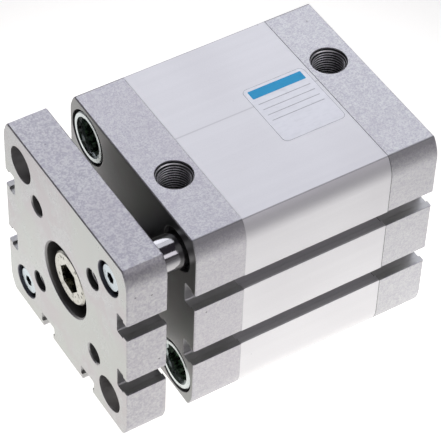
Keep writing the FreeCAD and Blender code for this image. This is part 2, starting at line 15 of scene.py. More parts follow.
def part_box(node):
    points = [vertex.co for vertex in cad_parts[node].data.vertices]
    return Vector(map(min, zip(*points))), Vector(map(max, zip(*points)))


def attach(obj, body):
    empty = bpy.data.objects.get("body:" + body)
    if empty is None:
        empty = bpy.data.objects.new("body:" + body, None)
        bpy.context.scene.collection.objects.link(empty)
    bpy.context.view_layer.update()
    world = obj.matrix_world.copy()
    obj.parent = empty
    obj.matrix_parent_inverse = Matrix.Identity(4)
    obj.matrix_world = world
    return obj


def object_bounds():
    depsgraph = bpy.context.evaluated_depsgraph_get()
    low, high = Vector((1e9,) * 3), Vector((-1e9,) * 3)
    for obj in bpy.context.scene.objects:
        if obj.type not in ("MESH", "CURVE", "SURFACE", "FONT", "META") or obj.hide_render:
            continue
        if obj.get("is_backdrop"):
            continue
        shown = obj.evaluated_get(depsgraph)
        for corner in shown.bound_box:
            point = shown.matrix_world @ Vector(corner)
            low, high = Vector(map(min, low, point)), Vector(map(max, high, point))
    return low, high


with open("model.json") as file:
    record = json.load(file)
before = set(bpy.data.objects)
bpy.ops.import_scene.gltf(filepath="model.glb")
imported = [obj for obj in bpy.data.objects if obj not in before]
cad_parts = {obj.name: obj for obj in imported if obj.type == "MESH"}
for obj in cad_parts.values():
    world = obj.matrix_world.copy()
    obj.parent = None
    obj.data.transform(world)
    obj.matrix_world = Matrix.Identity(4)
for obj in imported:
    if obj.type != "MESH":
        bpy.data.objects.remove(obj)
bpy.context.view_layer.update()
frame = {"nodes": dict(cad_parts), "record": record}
MM = 0.001
NODES = frame["nodes"]
MOUNTS = {mount["name"]: mount for mount in frame["record"]["mounts"]}

# ---- where things lie ------------------------------------------------------------------------
BODY_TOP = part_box("barrel")[1].z
BODY_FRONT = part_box("bearing_cap")[1].x
REAR_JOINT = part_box("barrel")[0].x    # between the end cap and the barrel
PLATE_LOW, PLATE_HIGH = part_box("yoke_plate")
FRONT_PORT, REAR_PORT = MOUNTS["front_port"], MOUNTS["rear_port"]
PORT_MIDDLE = (FRONT_PORT["pos_m"][0] + REAR_PORT["pos_m"][0]) / 2
CORNER = MOUNTS["front_bolt_lower"]["pos_m"][1]    # |y| and |z| of the collar screws and guides
TAPPED = 15.0 * MM           # |y| and |z| of the plate's tapped holes
ROUND = 9.5 * MM             # radius of the body's corners
CREASE = (30.2 * MM, 32.75 * MM)    # |y| and |z| where a flat top meets a round corner
DIE_LINE = -3.0 * MM         # y of the faint line along the barrel's top
WORN_EDGE = 0.28 * MM        # radius over which edges look worn

# radii that take in the walls of what is cut into the plate and the caps
GUIDE_POCKET_R = 5.4 * MM
MIDDLE_POCKET_R = 11.6 * MM
ACCESS_HOLE_R = 9.0 * MM
TAPPED_HOLE_R = 3.2 * MM
PORT_MOUTH_R = 5.27 * MM

# threads: radius of the plain wall, pitch and height of the ridge
PIPE_THREAD = (FRONT_PORT["dims"]["r_mm"] * MM, 0.907 * MM, 0.581 * MM)
M8_THREAD = (4.0 * MM, 1.25 * MM, 0.677 * MM)
M6_THREAD = (3.0 * MM, 1.0 * MM, 0.541 * MM)
PORT_DEPTH = 13.5 * MM
PORT_THREAD_START = 0.7 * MM         # above the port's floor
PORT_THREAD_LENGTH = 12.5 * MM
COLLAR_SOCKET_FLOOR = 4.6 * MM       # behind the face of the body
COLLAR_HOLE_DEPTH = 13.0 * MM        # behind the socket's floor
COLLAR_THREAD_LENGTH = 12.8 * MM
PLATE_THREAD_START = 0.2 * MM        # in front of the plate's back
PLATE_THREAD_FREE = 0.5 * MM         # left without a thread at both faces together


# ---- shader nodes ----------------------------------------------------------------------------
def connect(tree, socket, value):
    """Feeds a socket from another one, or sets it."""
    if isinstance(value, bpy.types.NodeSocket):
        tree.links.new(value, socket)
    else:
        socket.default_value = value


def add_node(tree, kind, inputs=None, **settings):
    """A new node with its settings; each input is fed from a socket or set to a value."""
    made = tree.nodes.new(kind)
    for name, value in settings.items():
        setattr(made, name, value)
    for name, value in (inputs or {}).items():
        connect(tree, made.inputs[name], value)
    return made


def maths(tree, operation, first, second=0.5, third=0.5):
    inputs = {0: first, 1: second, 2: third}
    return add_node(tree, "ShaderNodeMath", inputs, operation=operation).outputs[0]


def times(tree, first, second):
    return maths(tree, "MULTIPLY", first, second)


def apart(tree, first, second):
    """How far two values lie from each other."""
    return maths(tree, "ABSOLUTE", maths(tree, "SUBTRACT", first, second))


def distance(tree, first, second):
    """How far a point lies from an axis, from its two offsets."""
    squares = maths(tree, "ADD", times(tree, first, first), times(tree, second, second))
    return maths(tree, "SQRT", squares)


def from_four(tree, sides, places):
    """How far a point lies from the nearest of four axes: places are their distances from 0."""
    offsets = [maths(tree, "SUBTRACT", maths(tree, "ABSOLUTE", side), place)
               for side, place in zip(sides, places)]
    return distance(tree, *offsets)


def between(tree, value, low, high, out_low=0.0, out_high=1.0):
    """Value brought from low..high to out_low..out_high, with smooth ends."""
    inputs = {"Value": value, "From Min": low, "From Max": high,
              "To Min": out_low, "To Max": out_high}
    made = add_node(tree, "ShaderNodeMapRange", inputs, interpolation_type="SMOOTHSTEP")
    return made.outputs[0]


def within(tree, away, reach, soft):
    """1 up to a reach, then down to 0 over a soft rim."""
    return between(tree, away, reach, reach + soft, 1.0, 0.0)


def noise(tree, place, scale, detail, roughness=0.5, distortion=0.0):
    inputs = {"Vector": place, "Scale": scale, "Detail": detail, "Roughness": roughness,
              "Distortion": distortion}
    return add_node(tree, "ShaderNodeTexNoise", inputs).outputs[0]


def stretched(tree, place, scale):
    """Coordinates with each axis scaled by itself."""
    return add_node(tree, "ShaderNodeMapping", {"Vector": place, "Scale": scale}).outputs[0]


def blend(tree, factor, first, second):
    made = add_node(tree, "ShaderNodeMix", {"Factor": factor}, data_type="RGBA")
    connect(tree, made.inputs[6], first)
    connect(tree, made.inputs[7], second)
    return made.outputs[2]


def parts_of(tree, vector):
    made = add_node(tree, "ShaderNodeSeparateXYZ", {"Vector": vector})
    return made.outputs[0], made.outputs[1], made.outputs[2]


def surface_normal(tree):
    return tree.nodes.new("ShaderNodeTexCoord").outputs["Normal"]


def bump(tree, height, strength, depth, edge=0.0):
    """A relief from a height, over edges that are rounded off by a small radius."""
    inputs = {"Height": height, "Strength": strength, "Distance": depth}
    if edge:
        inputs["Normal"] = add_node(tree, "ShaderNodeBevel", {"Radius": edge}, samples=4).outputs[0]
    return add_node(tree, "ShaderNodeBump", inputs).outputs[0]


def pits(tree, place, scale, size, rarity):
    """1 in small scattered pits: cells of which only some are kept."""
    cells = add_node(tree, "ShaderNodeTexVoronoi", {"Vector": place, "Scale": scale})
    near = between(tree, cells.outputs["Distance"], size * 0.5, size, 1.0, 0.0)
    kept = between(tree, parts_of(tree, cells.outputs["Color"])[0], rarity, rarity + 0.02)
    return times(tree, near, kept)


def shaded(tint, by):
    """A tint made lighter or darker, by one number or one for each of its parts, as a colour."""
    by = by if isinstance(by, tuple) else (by,) * 3
    return tuple(min(1.0, part * factor) for part, factor in zip(tint, by)) + (1.0,)


def finish_base(name, metallic, **sockets):
    """A new material: the material, its tree, its shader and its object coordinates."""
    material = bpy.data.materials.new(name)
    material.use_nodes = True
    tree = material.node_tree
    shader = tree.nodes["Principled BSDF"]
    shader.inputs["Metallic"].default_value = metallic
    for socket, value in sockets.items():
        shader.inputs[socket].default_value = value
    return material, tree, shader, tree.nodes.new("ShaderNodeTexCoord").outputs["Object"]


def finish_with(tree, shader, colour, rough, normal):
    """Feeds the sockets that every finish of the part has."""
    for socket, value in (("Base Color", colour), ("Roughness", rough), ("Normal", normal)):
        connect(tree, shader.inputs[socket], value)


# ---- aluminium -------------------------------------------------------------------------------
# painted shade down the air ports (also the dark line of the rear joint), and a painted highlight
# on the ports' cones
DARK_SHADE_AND_SEAM = (0.03, 0.03, 0.035, 1.0)
PAINTED_CONE_HIGHLIGHT = (0.90, 0.90, 0.91, 1.0)


def inside(tree, place, node):
    """1 on the walls and floors of what is cut into a slotted block, 0 on its outer faces."""
    low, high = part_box(node)
    x, y, z = parts_of(tree, place)
    past_flats = [maths(tree, "SUBTRACT", maths(tree, "ABSOLUTE", side), high.y - ROUND)
                  for side in (y, z)]
    outward = distance(tree, *(maths(tree, "MAXIMUM", one, 0.0) for one in past_flats))
    under_skin = between(tree, outward, ROUND - 0.6 * MM, ROUND - 0.4 * MM, 1.0, 0.0)
    half = (high.x - low.x) / 2
    along = apart(tree, x, (low.x + high.x) / 2)
    return times(tree, under_skin,
                 between(tree, along, half - 0.12 * MM, half - 0.04 * MM, 1.0, 0.0))


def crease_shade_strength(tree, across, upward, width=0.30 * MM, strength=0.7):
    """Strength of painted shade where the body's flats meet its corners, 0 from a width away."""
    away = from_four(tree, (across, upward), CREASE)
    return between(tree, away, width * 0.33, width, strength, 0.0)


def gritty(tree, tint, shade, clouds):
    """The colour of a blasted skin: dark to light grit, with faint clouds."""
    colour = blend(tree, between(tree, shade, 0.34, 0.66),
                   shaded(tint, (0.80, 0.78, 0.84)), shaded(tint, (1.20, 1.21, 1.17)))
    return blend(tree, between(tree, clouds, 0.4, 0.7, 0.0, 0.12),
                 colour, shaded(tint, (0.88, 0.80, 0.86)))


def milled(tree, face, shade, swirl, clouds):
    """The colour of a milled end face, a little mottled and stained."""
    colour = blend(tree, between(tree, shade, 0.47, 0.53), shaded(face, 0.92), shaded(face, 1.06))
    colour = blend(tree, between(tree, swirl, 0.40, 0.60), shaded(face, (0.93, 0.88, 0.89)), colour)
    stained = between(tree, clouds, 0.40, 0.60, 0.0, 0.6)
    return blend(tree, stained, colour, shaded(face, (0.93, 0.99, 0.91)))


def port_walls(tree, place, port, top, wall):
    """The colour of a cap's cut-in walls, its air port painted dark as shade under a cone painted
    bright as a highlight.
    """
    x, y, z = parts_of(tree, place)
    offsets = (maths(tree, "SUBTRACT", *pair) for pair in zip((x, y), port["pos_m"]))
    in_port = within(tree, distance(tree, *offsets), PORT_MOUTH_R, 0.08 * MM)
    # the cone gets a painted highlight, the rest of the port is painted shade
    cone = times(tree, between(tree, z, top - 1.26 * MM, top - 1.16 * MM),
                 between(tree, z, top - 0.94 * MM, top - 0.86 * MM, 1.0, 0.0))
    return blend(tree, in_port, wall, blend(tree, cone, DARK_SHADE_AND_SEAM, PAINTED_CONE_HIGHLIGHT))


def plate_walls(tree, place, wall):
    """The colour of the plate's cut-in walls: its pockets and tapped holes are painted darkest, as
    shade.
    """
    y, z = parts_of(tree, place)[1:]
    from_corner = from_four(tree, (y, z), (CORNER, CORNER))
    from_tapped = from_four(tree, (y, z), (TAPPED, TAPPED))
    same_side = maths(tree, "GREATER_THAN", times(tree, y, z), 0.0)
    access = within(tree, from_corner, ACCESS_HOLE_R, 0.2 * MM)
    guide = times(tree, within(tree, from_corner, GUIDE_POCKET_R, 0.3 * MM), same_side)
    middle = within(tree, distance(tree, y, z), MIDDLE_POCKET_R, 0.3 * MM)
    tapped = times(tree, within(tree, from_tapped, TAPPED_HOLE_R, 0.2 * MM), same_side)
    # the dark tones of the pockets and tapped holes are painted shade
    for mask, tone in ((access, (0.50, 0.49, 0.49, 1.0)), (guide, (0.09, 0.09, 0.11, 1.0)),
                       (middle, (0.24, 0.235, 0.235, 1.0)), (tapped, (0.10, 0.10, 0.10, 1.0))):
        wall = blend(tree, mask, wall, tone)
    return wall


def with_crease_shade(tree, place, sideways, tint, colour):
    """A cap's colour with painted shade, darker on its round corners towards the creases."""
    y, z = parts_of(tree, place)[1:]
    round_corner_shade = times(tree, crease_shade_strength(tree, y, z, 2.6 * MM, 0.6), between(tree, sideways, 0.3, 0.6))
    crease_line_shade = maths(tree, "MAXIMUM", round_corner_shade, crease_shade_strength(tree, y, z, 0.45 * MM, 0.9))
    return blend(tree, crease_line_shade, colour, shaded(tint, 0.42))


def blasted_aluminium(name, node, tint, end_tints, grain, depth, patches, bore, port=None):
    """Gritty blasted aluminium; its end faces are milled smooth, its holes and pockets are bored.

    end_tints are the front and the back face's. depth is how strong the grit shows, patches the
    share of it in coarser patches. bore is the tone of cut-in walls, darker than the skin as
    painted shade. A cap has the mount of its air port and painted shade on its creases. The plate
    has neither, and pockets painted darker as shade.
    """
    material, tree, shader, place = finish_base(name, 1.0)
    along, across = parts_of(tree, surface_normal(tree))[:2]
    sideways = maths(tree, "ABSOLUTE", across)
    front = between(tree, along, 0.90, 0.98)
    back = between(tree, along, -0.98, -0.90, 1.0, 0.0)
    bored = inside(tree, place, node)
    smooth = maths(tree, "MAXIMUM", maths(tree, "MAXIMUM", front, back), bored)

    coarse = noise(tree, place, grain * 0.4, 3.0, 0.6)
    grit = noise(tree, place, grain, 3.0, 0.65)
    fine = noise(tree, place, grain * 3.0, 2.0, 0.6)
    clouds = noise(tree, place, 55.0, 3.0, 0.5)
    swirl = noise(tree, place, 130.0, 4.0, 0.6, 0.6)
    mottle = maths(tree, "ADD", times(tree, coarse, patches), times(tree, grit, 1.0 - patches))
    strength = times(tree, between(tree, sideways, 0.5, 0.95, depth, depth * 0.6),
                     between(tree, smooth, 0.0, 1.0, 1.0, 0.2))
    shade = maths(tree, "MULTIPLY_ADD", maths(tree, "SUBTRACT", mottle, 0.5), strength, 0.5)

    colour = gritty(tree, tint, shade, clouds)
    for mask, face in zip((front, back), end_tints):
        colour = blend(tree, mask, colour, milled(tree, face, shade, swirl, clouds))

    # the cut-in walls keep a bored tone, set darker than the skin as painted shade
    grey = (bore, bore, bore)
    wall = blend(tree, between(tree, swirl, 0.35, 0.65), shaded(grey, 0.95), shaded(grey, 1.05))
    if port:
        wall = port_walls(tree, place, port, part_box(node)[1].z, wall)
    else:
        wall = plate_walls(tree, place, wall)
    colour = blend(tree, bored, colour, wall)

    from_seam = apart(tree, parts_of(tree, place)[0], REAR_JOINT)
    seam = between(tree, from_seam, 0.12 * MM, 0.20 * MM, 0.9, 0.0)
    colour = blend(tree, seam, colour, DARK_SHADE_AND_SEAM)
    if port:
        # painted shade on the caps' round corners and creases
        colour = with_crease_shade(tree, place, sideways, tint, colour)
    spots = times(tree, pits(tree, place, 420.0, 0.16, 0.955),
                  maths(tree, "SUBTRACT", 1.0, smooth))
    colour = blend(tree, times(tree, spots, 0.6), colour, (0.06, 0.055, 0.065, 1.0))

    polish = 0.34 if port else 0.24
    rough = blend(tree, smooth, between(tree, grit, 0.3, 0.7, 0.40, 0.52),
                  between(tree, swirl, 0.3, 0.7, polish, polish + 0.04))
    rough = between(tree, bored, 0.0, 1.0, rough, 0.42)
    relief = maths(tree, "SUBTRACT", maths(tree, "MULTIPLY_ADD", fine, 0.6, grit),
                   times(tree, spots, 1.5))
    relief = times(tree, relief, between(tree, smooth, 0.0, 1.0, 1.0, 0.05))
    finish_with(tree, shader, colour, rough, bump(tree, relief, 0.45, 0.1 * MM, WORN_EDGE))
    return material


def anodised_extrusion():
    """The drawn barrel: smooth clear anodising with fine lines along its length."""
    material, tree, shader, place = finish_base("anodised_extrusion", 0.68)
    lines = noise(tree, stretched(tree, place, (5.0, 500.0, 500.0)), 1.0, 3.0, 0.6)
    hair = noise(tree, stretched(tree, place, (20.0, 3500.0, 3500.0)), 1.0, 2.0, 0.6)
    clouds = noise(tree, place, 45.0, 3.0, 0.55)
    grain = noise(tree, place, 2600.0, 2.0, 0.6)
    colour = blend(tree, between(tree, lines, 0.3, 0.7),
                   (0.82, 0.815, 0.83, 1.0), (0.84, 0.835, 0.85, 1.0))
    colour = blend(tree, between(tree, clouds, 0.35, 0.7, 0.0, 0.4),
                   colour, (0.83, 0.82, 0.835, 1.0))
    colour = blend(tree, between(tree, grain, 0.35, 0.65, 0.0, 0.15),
                   colour, (0.73, 0.725, 0.75, 1.0))
    y, z = parts_of(tree, place)[1:]
    on_top = between(tree, parts_of(tree, surface_normal(tree))[2], 0.9, 0.98)
    die_line = times(tree, within(tree, apart(tree, y, DIE_LINE), 0.08 * MM, 0.26 * MM), on_top)
    colour = blend(tree, times(tree, die_line, 0.38), colour, (0.42, 0.41, 0.43, 1.0))
    # the slots' walls are painted darker, as shade
    colour = blend(tree, inside(tree, place, "barrel"), colour, (0.58, 0.575, 0.59, 1.0))
    # a dark line painted as shade along the creases
    colour = blend(tree, crease_shade_strength(tree, y, z), colour, (0.40, 0.39, 0.41, 1.0))
    spots = pits(tree, place, 230.0, 0.07, 0.965)
    colour = blend(tree, times(tree, spots, 0.35), colour, (0.30, 0.29, 0.31, 1.0))
    rough = maths(tree, "ADD", between(tree, clouds, 0.3, 0.7, 0.45, 0.50), times(tree, hair, 0.06))
    relief = maths(tree, "SUBTRACT", maths(tree, "ADD", lines, times(tree, hair, 0.3)),
                   times(tree, spots, 0.5))
    finish_with(tree, shader, colour, rough, bump(tree, relief, 0.028, 0.04 * MM, WORN_EDGE))
    return material


# ---- other metals ----------------------------------------------------------------------------
def ground_chrome():
    """Ground, chromed and polished rod: a mirror with very fine rings and a few run marks."""
    material, tree, shader, place = finish_base("ground_chrome", 1.0)
    rings = noise(tree, stretched(tree, place, (6000.0, 60.0, 60.0)), 1.0, 3.0, 0.6)
    runs = noise(tree, stretched(tree, place, (30.0, 1600.0, 1600.0)), 1.0, 2.0, 0.5)
    clouds = noise(tree, place, 120.0, 2.0)
    colour = blend(tree, between(tree, clouds, 0.35, 0.7),
                   (0.44, 0.435, 0.445, 1.0), (0.50, 0.495, 0.505, 1.0))
    rough = maths(tree, "ADD", between(tree, rings, 0.3, 0.7, 0.07, 0.12), times(tree, runs, 0.04))
    relief = maths(tree, "ADD", rings, times(tree, runs, 0.4))
    finish_with(tree, shader, colour, rough, bump(tree, relief, 0.10, 0.02 * MM))
    return material


def zinc_plate(name, tint, stain, dull, centre, radius, back, front):
    """Zinc plating on a screw: bright and a little cloudy, with dull spots and a dark socket,
    partly oiled and partly painted shade, with painted glints.

    stain is the tint of the oiled and shaded socket, dull the share of dull spots. centre is the
    |y| and |z| of the screws' axes, radius takes in their sockets, and back and front are the x
    between which those lie.
    """
    material, tree, shader, place = finish_base(name, 1.0)
    clouds = noise(tree, place, 500.0, 4.0, 0.6)
    fine = noise(tree, place, 2400.0, 2.0, 0.6)
    colour = blend(tree, between(tree, clouds, 0.35, 0.65), shaded(tint, 0.78), shaded(tint, 1.0))
    spots = pits(tree, place, 850.0, 0.6, 1.0 - dull)
    worn = between(tree, noise(tree, place, 260.0, 2.0), 0.44, 0.56, 0.25, 1.0)
    colour = blend(tree, times(tree, spots, worn), colour, (0.10, 0.095, 0.07, 1.0))
    x, y, z = parts_of(tree, place)
    socket = times(tree, within(tree, from_four(tree, (y, z), (centre, centre)), radius, 0.1 * MM),
                   between(tree, x, back, back + 0.15 * MM))
    socket = times(tree, socket, between(tree, x, front - 0.15 * MM, front, 1.0, 0.0))
    # the socket, partly oiled and partly painted shade, with painted glints where the clouds are
    # brightest
    oil_shade_and_glints = blend(tree, between(tree, clouds, 0.45, 0.60), shaded(stain, 0.35), shaded(stain, 2.2))
    oil_shade_and_glints = blend(tree, between(tree, clouds, 0.60, 0.66), oil_shade_and_glints, shaded(tint, 1.2))
    colour = blend(tree, socket, colour, oil_shade_and_glints)
    rough = between(tree, clouds, 0.3, 0.7, 0.20, 0.36)
    relief = maths(tree, "ADD", clouds, times(tree, fine, 0.5))
    finish_with(tree, shader, colour, rough, bump(tree, relief, 0.2, 0.06 * MM))
    return material


def cut_thread(name, tint, sides, places, crest, root, middle=0.0):
    """Cut threads: bright chattered crests over roots painted dark, partly as shade and partly
    oiled.

    sides names the two axes across the holes, and places gives the holes' distances from 0 on
    each, or from middle on the first. The tone turns dark from the crest to the root radius.
    """
    material, tree, shader, place = finish_base(name, 0.6)
    chatter = noise(tree, place, 3000.0, 3.0, 0.6)
    stain = noise(tree, place, 500.0, 2.0)
    first, second = (parts_of(tree, place)["xyz".index(side)] for side in sides)
    away = from_four(tree, (maths(tree, "SUBTRACT", first, middle), second), places)
    colour = blend(tree, between(tree, stain, 0.35, 0.65), shaded(tint, 0.72), shaded(tint, 1.0))
    # towards the root radius the tone is painted dark: painted shade, partly oiled
    colour = blend(tree, between(tree, away, crest, root), colour, shaded(tint, 0.04))
    rough = between(tree, chatter, 0.3, 0.7, 0.24, 0.42)
    finish_with(tree, shader, colour, rough, bump(tree, chatter, 0.25, 0.04 * MM))
    return material


def turned_metal(name, tint, roughness):
    """A turned face or bush: fine rings about the rod's axis."""
    material, tree, shader, place = finish_base(name, 1.0)
    x, y, z = parts_of(tree, place)
    lay = 9000.0
    groove = add_node(tree, "ShaderNodeCombineXYZ", {
        0: times(tree, x, lay), 1: times(tree, distance(tree, y, z), lay)}).outputs[0]
    rings = noise(tree, groove, 1.0, 3.0, 0.6)
    stain = noise(tree, place, 220.0, 3.0, 0.55)
    dark = shaded(tint, 0.75)
    colour = blend(tree, between(tree, stain, 0.3, 0.7), dark, shaded(tint, 1.0))
    colour = blend(tree, between(tree, rings, 0.4, 0.7, 0.0, 0.25), colour, dark)
    rough = between(tree, rings, 0.3, 0.7, roughness - 0.06, roughness + 0.08)
    finish_with(tree, shader, colour, rough, bump(tree, rings, 0.25, 0.04 * MM))
    return material


# ---- plastics and film -----------------------------------------------------------------------
def moulded(name, tint, roughness):
    """Moulded rubber or plastic: a fine matt skin with a few lighter rubs."""
    material, tree, shader, place = finish_base(name, 0.0)
    skin = noise(tree, place, 1800.0, 3.0, 0.6)
    rubs = noise(tree, place, 260.0, 3.0, 0.55)
    light = tuple(min(1.0, part * 1.7 + 0.012) for part in tint) + (1.0,)
    colour = blend(tree, between(tree, rubs, 0.5, 0.75), shaded(tint, 1.0), light)
    rough = between(tree, skin, 0.3, 0.7, roughness - 0.08, roughness + 0.08)
    finish_with(tree, shader, colour, rough, bump(tree, skin, 0.3, 0.06 * MM))
    return material


def label_film(name, tint, sheen):
    """Printed silver polyester film: satin, with a faint orange-peel and small scuffs."""
    material, tree, shader, place = finish_base(name, 1.0)
    peel = noise(tree, place, 700.0, 2.0)
    scuffs = noise(tree, stretched(tree, place, (300.0, 1200.0, 300.0)), 1.0, 3.0, 0.6)
    colour = blend(tree, between(tree, scuffs, 0.45, 0.75), shaded(tint, 1.0), shaded(tint, 0.94))
    rough = between(tree, peel, 0.3, 0.7, sheen - 0.05, sheen + 0.06)
    finish_with(tree, shader, colour, rough, bump(tree, peel, 0.03, 0.03 * MM))
    return material


# ---- finishes of the imported pieces -----------------------------------------------------------
# the bearing cap's front face is darker than the other end faces, as painted shade in the gap under
# the plate
SHADED_CAP_FACE = (0.285, 0.285, 0.285)
END_FACE = (0.50, 0.50, 0.505)
PLATE_FACE = (0.455, 0.455, 0.460)
# the plate's back, facing the gap, is painted near black as shade
PAINTED_SHADE_PLATE_BACK = (0.05, 0.05, 0.05)
FRONT_CAP = blasted_aluminium("blasted_front_cap", "bearing_cap", (0.545, 0.54, 0.56),
                              (SHADED_CAP_FACE, END_FACE), grain=2400.0, depth=1.3, patches=0.30,
                              bore=0.48, port=FRONT_PORT)
REAR_CAP = blasted_aluminium("blasted_rear_cap", "end_cap", (0.59, 0.59, 0.605),
                             (END_FACE, END_FACE), grain=2400.0, depth=1.3, patches=0.30,
                             bore=0.50, port=REAR_PORT)
PLATE = blasted_aluminium("blasted_plate", "yoke_plate", (0.50, 0.495, 0.515),
                          (PLATE_FACE, PAINTED_SHADE_PLATE_BACK), grain=1700.0, depth=1.7, patches=0.35,
                          bore=0.42)
BARREL = anodised_extrusion()
CHROME = ground_chrome()
BLUE_ZINC = zinc_plate("blue_zinc", (0.58, 0.65, 0.69), (0.05, 0.06, 0.08), dull=0.06,
                       centre=CORNER, radius=1.9 * MM, back=0.0, front=PLATE_HIGH.x - 1.0 * MM)
PALE_ZINC = zinc_plate("pale_zinc", (0.60, 0.59, 0.535), (0.22, 0.215, 0.17), dull=0.50,
                       centre=0.0, radius=4.7 * MM, back=0.0, front=PLATE_HIGH.x - 1.75 * MM)
COLLAR_ZINC = zinc_plate("collar_zinc", (0.70, 0.75, 0.745), (0.27, 0.35, 0.28), dull=0.06,
                         centre=CORNER, radius=6.3 * MM, back=1.3 * MM,
                         front=BODY_FRONT - 1.9 * MM)
PORT_PLACES = (FRONT_PORT["pos_m"][0] - PORT_MIDDLE, FRONT_PORT["pos_m"][1])
CUT_ALUMINIUM = cut_thread("cut_aluminium", (0.84, 0.83, 0.86), "xy", PORT_PLACES,
                           crest=4.34 * MM, root=4.56 * MM, middle=PORT_MIDDLE)
CUT_STEEL = cut_thread("cut_steel", (0.70, 0.78, 0.66), "yz", (CORNER, CORNER),
                       crest=3.42 * MM, root=3.70 * MM)
OILED_AND_SHADED_CUT = cut_thread("oiled_and_shaded_cut", (0.95, 0.95, 0.95), "yz", (TAPPED, TAPPED),
                       crest=2.56 * MM, root=2.74 * MM)
RUBBER = moulded("seal_rubber_skin", (0.022, 0.022, 0.024), 0.52)
BRONZE = turned_metal("sintered_bronze", (0.60, 0.43, 0.24), 0.42)
PISTON = turned_metal("turned_piston", (0.76, 0.76, 0.77), 0.32)
MAGNET = moulded("bonded_magnet", (0.09, 0.09, 0.095), 0.60)
BAND = moulded("guide_band", (0.72, 0.69, 0.60), 0.45)
BUFFER = moulded("cast_buffer", (0.72, 0.53, 0.14), 0.40)
LABEL_WHITE = label_film("label_white", (0.66, 0.66, 0.685), 0.40)
LABEL_BLUE = label_film("label_blue", (0.04, 0.27, 0.47), 0.36)
LABEL_GREY = label_film("label_grey", (0.33, 0.33, 0.35), 0.36)

FINISHES = {
    "barrel": BARREL, "bearing_cap": FRONT_CAP, "end_cap": REAR_CAP, "yoke_plate": PLATE,
    "piston_rod": CHROME, "guide_rod_upper": CHROME, "guide_rod_lower": CHROME,
    "bearing_cap_screws": COLLAR_ZINC, "end_cap_screws": COLLAR_ZINC, "yoke_screw": PALE_ZINC,
    "guide_rod_screws": BLUE_ZINC, "piston_nut": BLUE_ZINC,
    "bearing_cap_seal": RUBBER, "end_cap_seal": RUBBER, "rod_seal": RUBBER, "rod_o_ring": RUBBER,
    "guide_wiper_upper": RUBBER, "guide_wiper_lower": RUBBER, "piston_front_seal": RUBBER,
    "piston_rear_seal": RUBBER, "rod_bush": BRONZE, "guide_bush_upper": BRONZE,
    "guide_bush_lower": BRONZE, "piston_front_half": PISTON, "piston_rear_half": PISTON,
    "piston_magnet": MAGNET, "piston_guide_band": BAND, "front_buffer": BUFFER,
    "rear_buffer": BUFFER,
}
for node_name, finish in FINISHES.items():
    slots = NODES[node_name].data.materials
    slots.clear()
    slots.append(finish)


# ---- thread ridges ---------------------------------------------------------------------------
def thread_tree():
    """Geometry nodes: at each hole's inner end, one helical ridge that stands out of its wall."""
    tree = bpy.data.node_groups.new("thread_ridge", "GeometryNodeTree")
    sockets = [("Holes", "Geometry"), ("Wall radius", "Float"), ("Pitch", "Float"),
               ("Ridge height", "Float"), ("Turns", "Float"), ("Sunk", "Float"),
               ("Finish", "Material")]
    for name, kind in sockets:
        tree.interface.new_socket(name, in_out="INPUT", socket_type="NodeSocket" + kind)
    tree.interface.new_socket("Threads", in_out="OUTPUT", socket_type="NodeSocketGeometry")
    given = add_node(tree, "NodeGroupInput").outputs
    spiral = add_node(tree, "GeometryNodeCurveSpiral", {
        "Resolution": 48, "Rotations": given["Turns"], "Start Radius": given["Wall radius"],
        "End Radius": given["Wall radius"], "Height": times(tree, given["Turns"], given["Pitch"])})
    upright = add_node(tree, "GeometryNodeSetCurveNormal", {"Curve": spiral.outputs[0]},
                       mode="Z_UP")
    place = add_node(tree, "GeometryNodeSplineParameter").outputs["Factor"]
    rise = between(tree, place, 0.0, 0.06, 0.02, 1.0)
    fall = between(tree, place, 0.94, 1.0, 1.0, 0.02)
    tapered = add_node(tree, "GeometryNodeSetCurveRadius", {
        "Curve": upright.outputs[0], "Radius": times(tree, rise, fall)})
    foot = times(tree, given["Pitch"], 0.46)
    crest = times(tree, given["Pitch"], 0.07)
    tip = given["Ridge height"]
    behind = times(tree, given["Sunk"], -1.0)
    corners = [(behind, foot), (behind, times(tree, foot, -1.0)),
               (tip, times(tree, crest, -1.0)), (tip, crest)]
    section = add_node(tree, "GeometryNodeCurvePrimitiveQuadrilateral", mode="POINTS")
    for number, (out, up) in enumerate(corners):
        corner = add_node(tree, "ShaderNodeCombineXYZ", {0: out, 1: up})
        connect(tree, section.inputs["Point " + str(number + 1)], corner.outputs[0])
    ridge = add_node(tree, "GeometryNodeCurveToMesh", {
        "Curve": tapered.outputs[0], "Profile Curve": section.outputs[0], "Fill Caps": True})
    axis = add_node(tree, "GeometryNodeInputNamedAttribute", {"Name": "hole_axis"},
                    data_type="FLOAT_VECTOR")
    turn = add_node(tree, "FunctionNodeAlignRotationToVector", {"Vector": axis.outputs[0]},
                    axis="Z")
    set_out = add_node(tree, "GeometryNodeInstanceOnPoints", {
        "Points": given["Holes"], "Instance": ridge.outputs[0], "Rotation": turn.outputs[0]})
    real = add_node(tree, "GeometryNodeRealizeInstances", {"Geometry": set_out.outputs[0]})
    finished = add_node(tree, "GeometryNodeSetMaterial", {
        "Geometry": real.outputs[0], "Material": given["Finish"]})
    add_node(tree, "NodeGroupOutput", {"Threads": finished.outputs[0]})
    return tree


THREADS = thread_tree()


def settle(name, mesh, body):
    """Links a finished mesh as a piece that rides on a body."""
    mesh.name = name
    piece = bpy.data.objects.new(name, mesh)
    bpy.context.scene.collection.objects.link(piece)
    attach(piece, body)


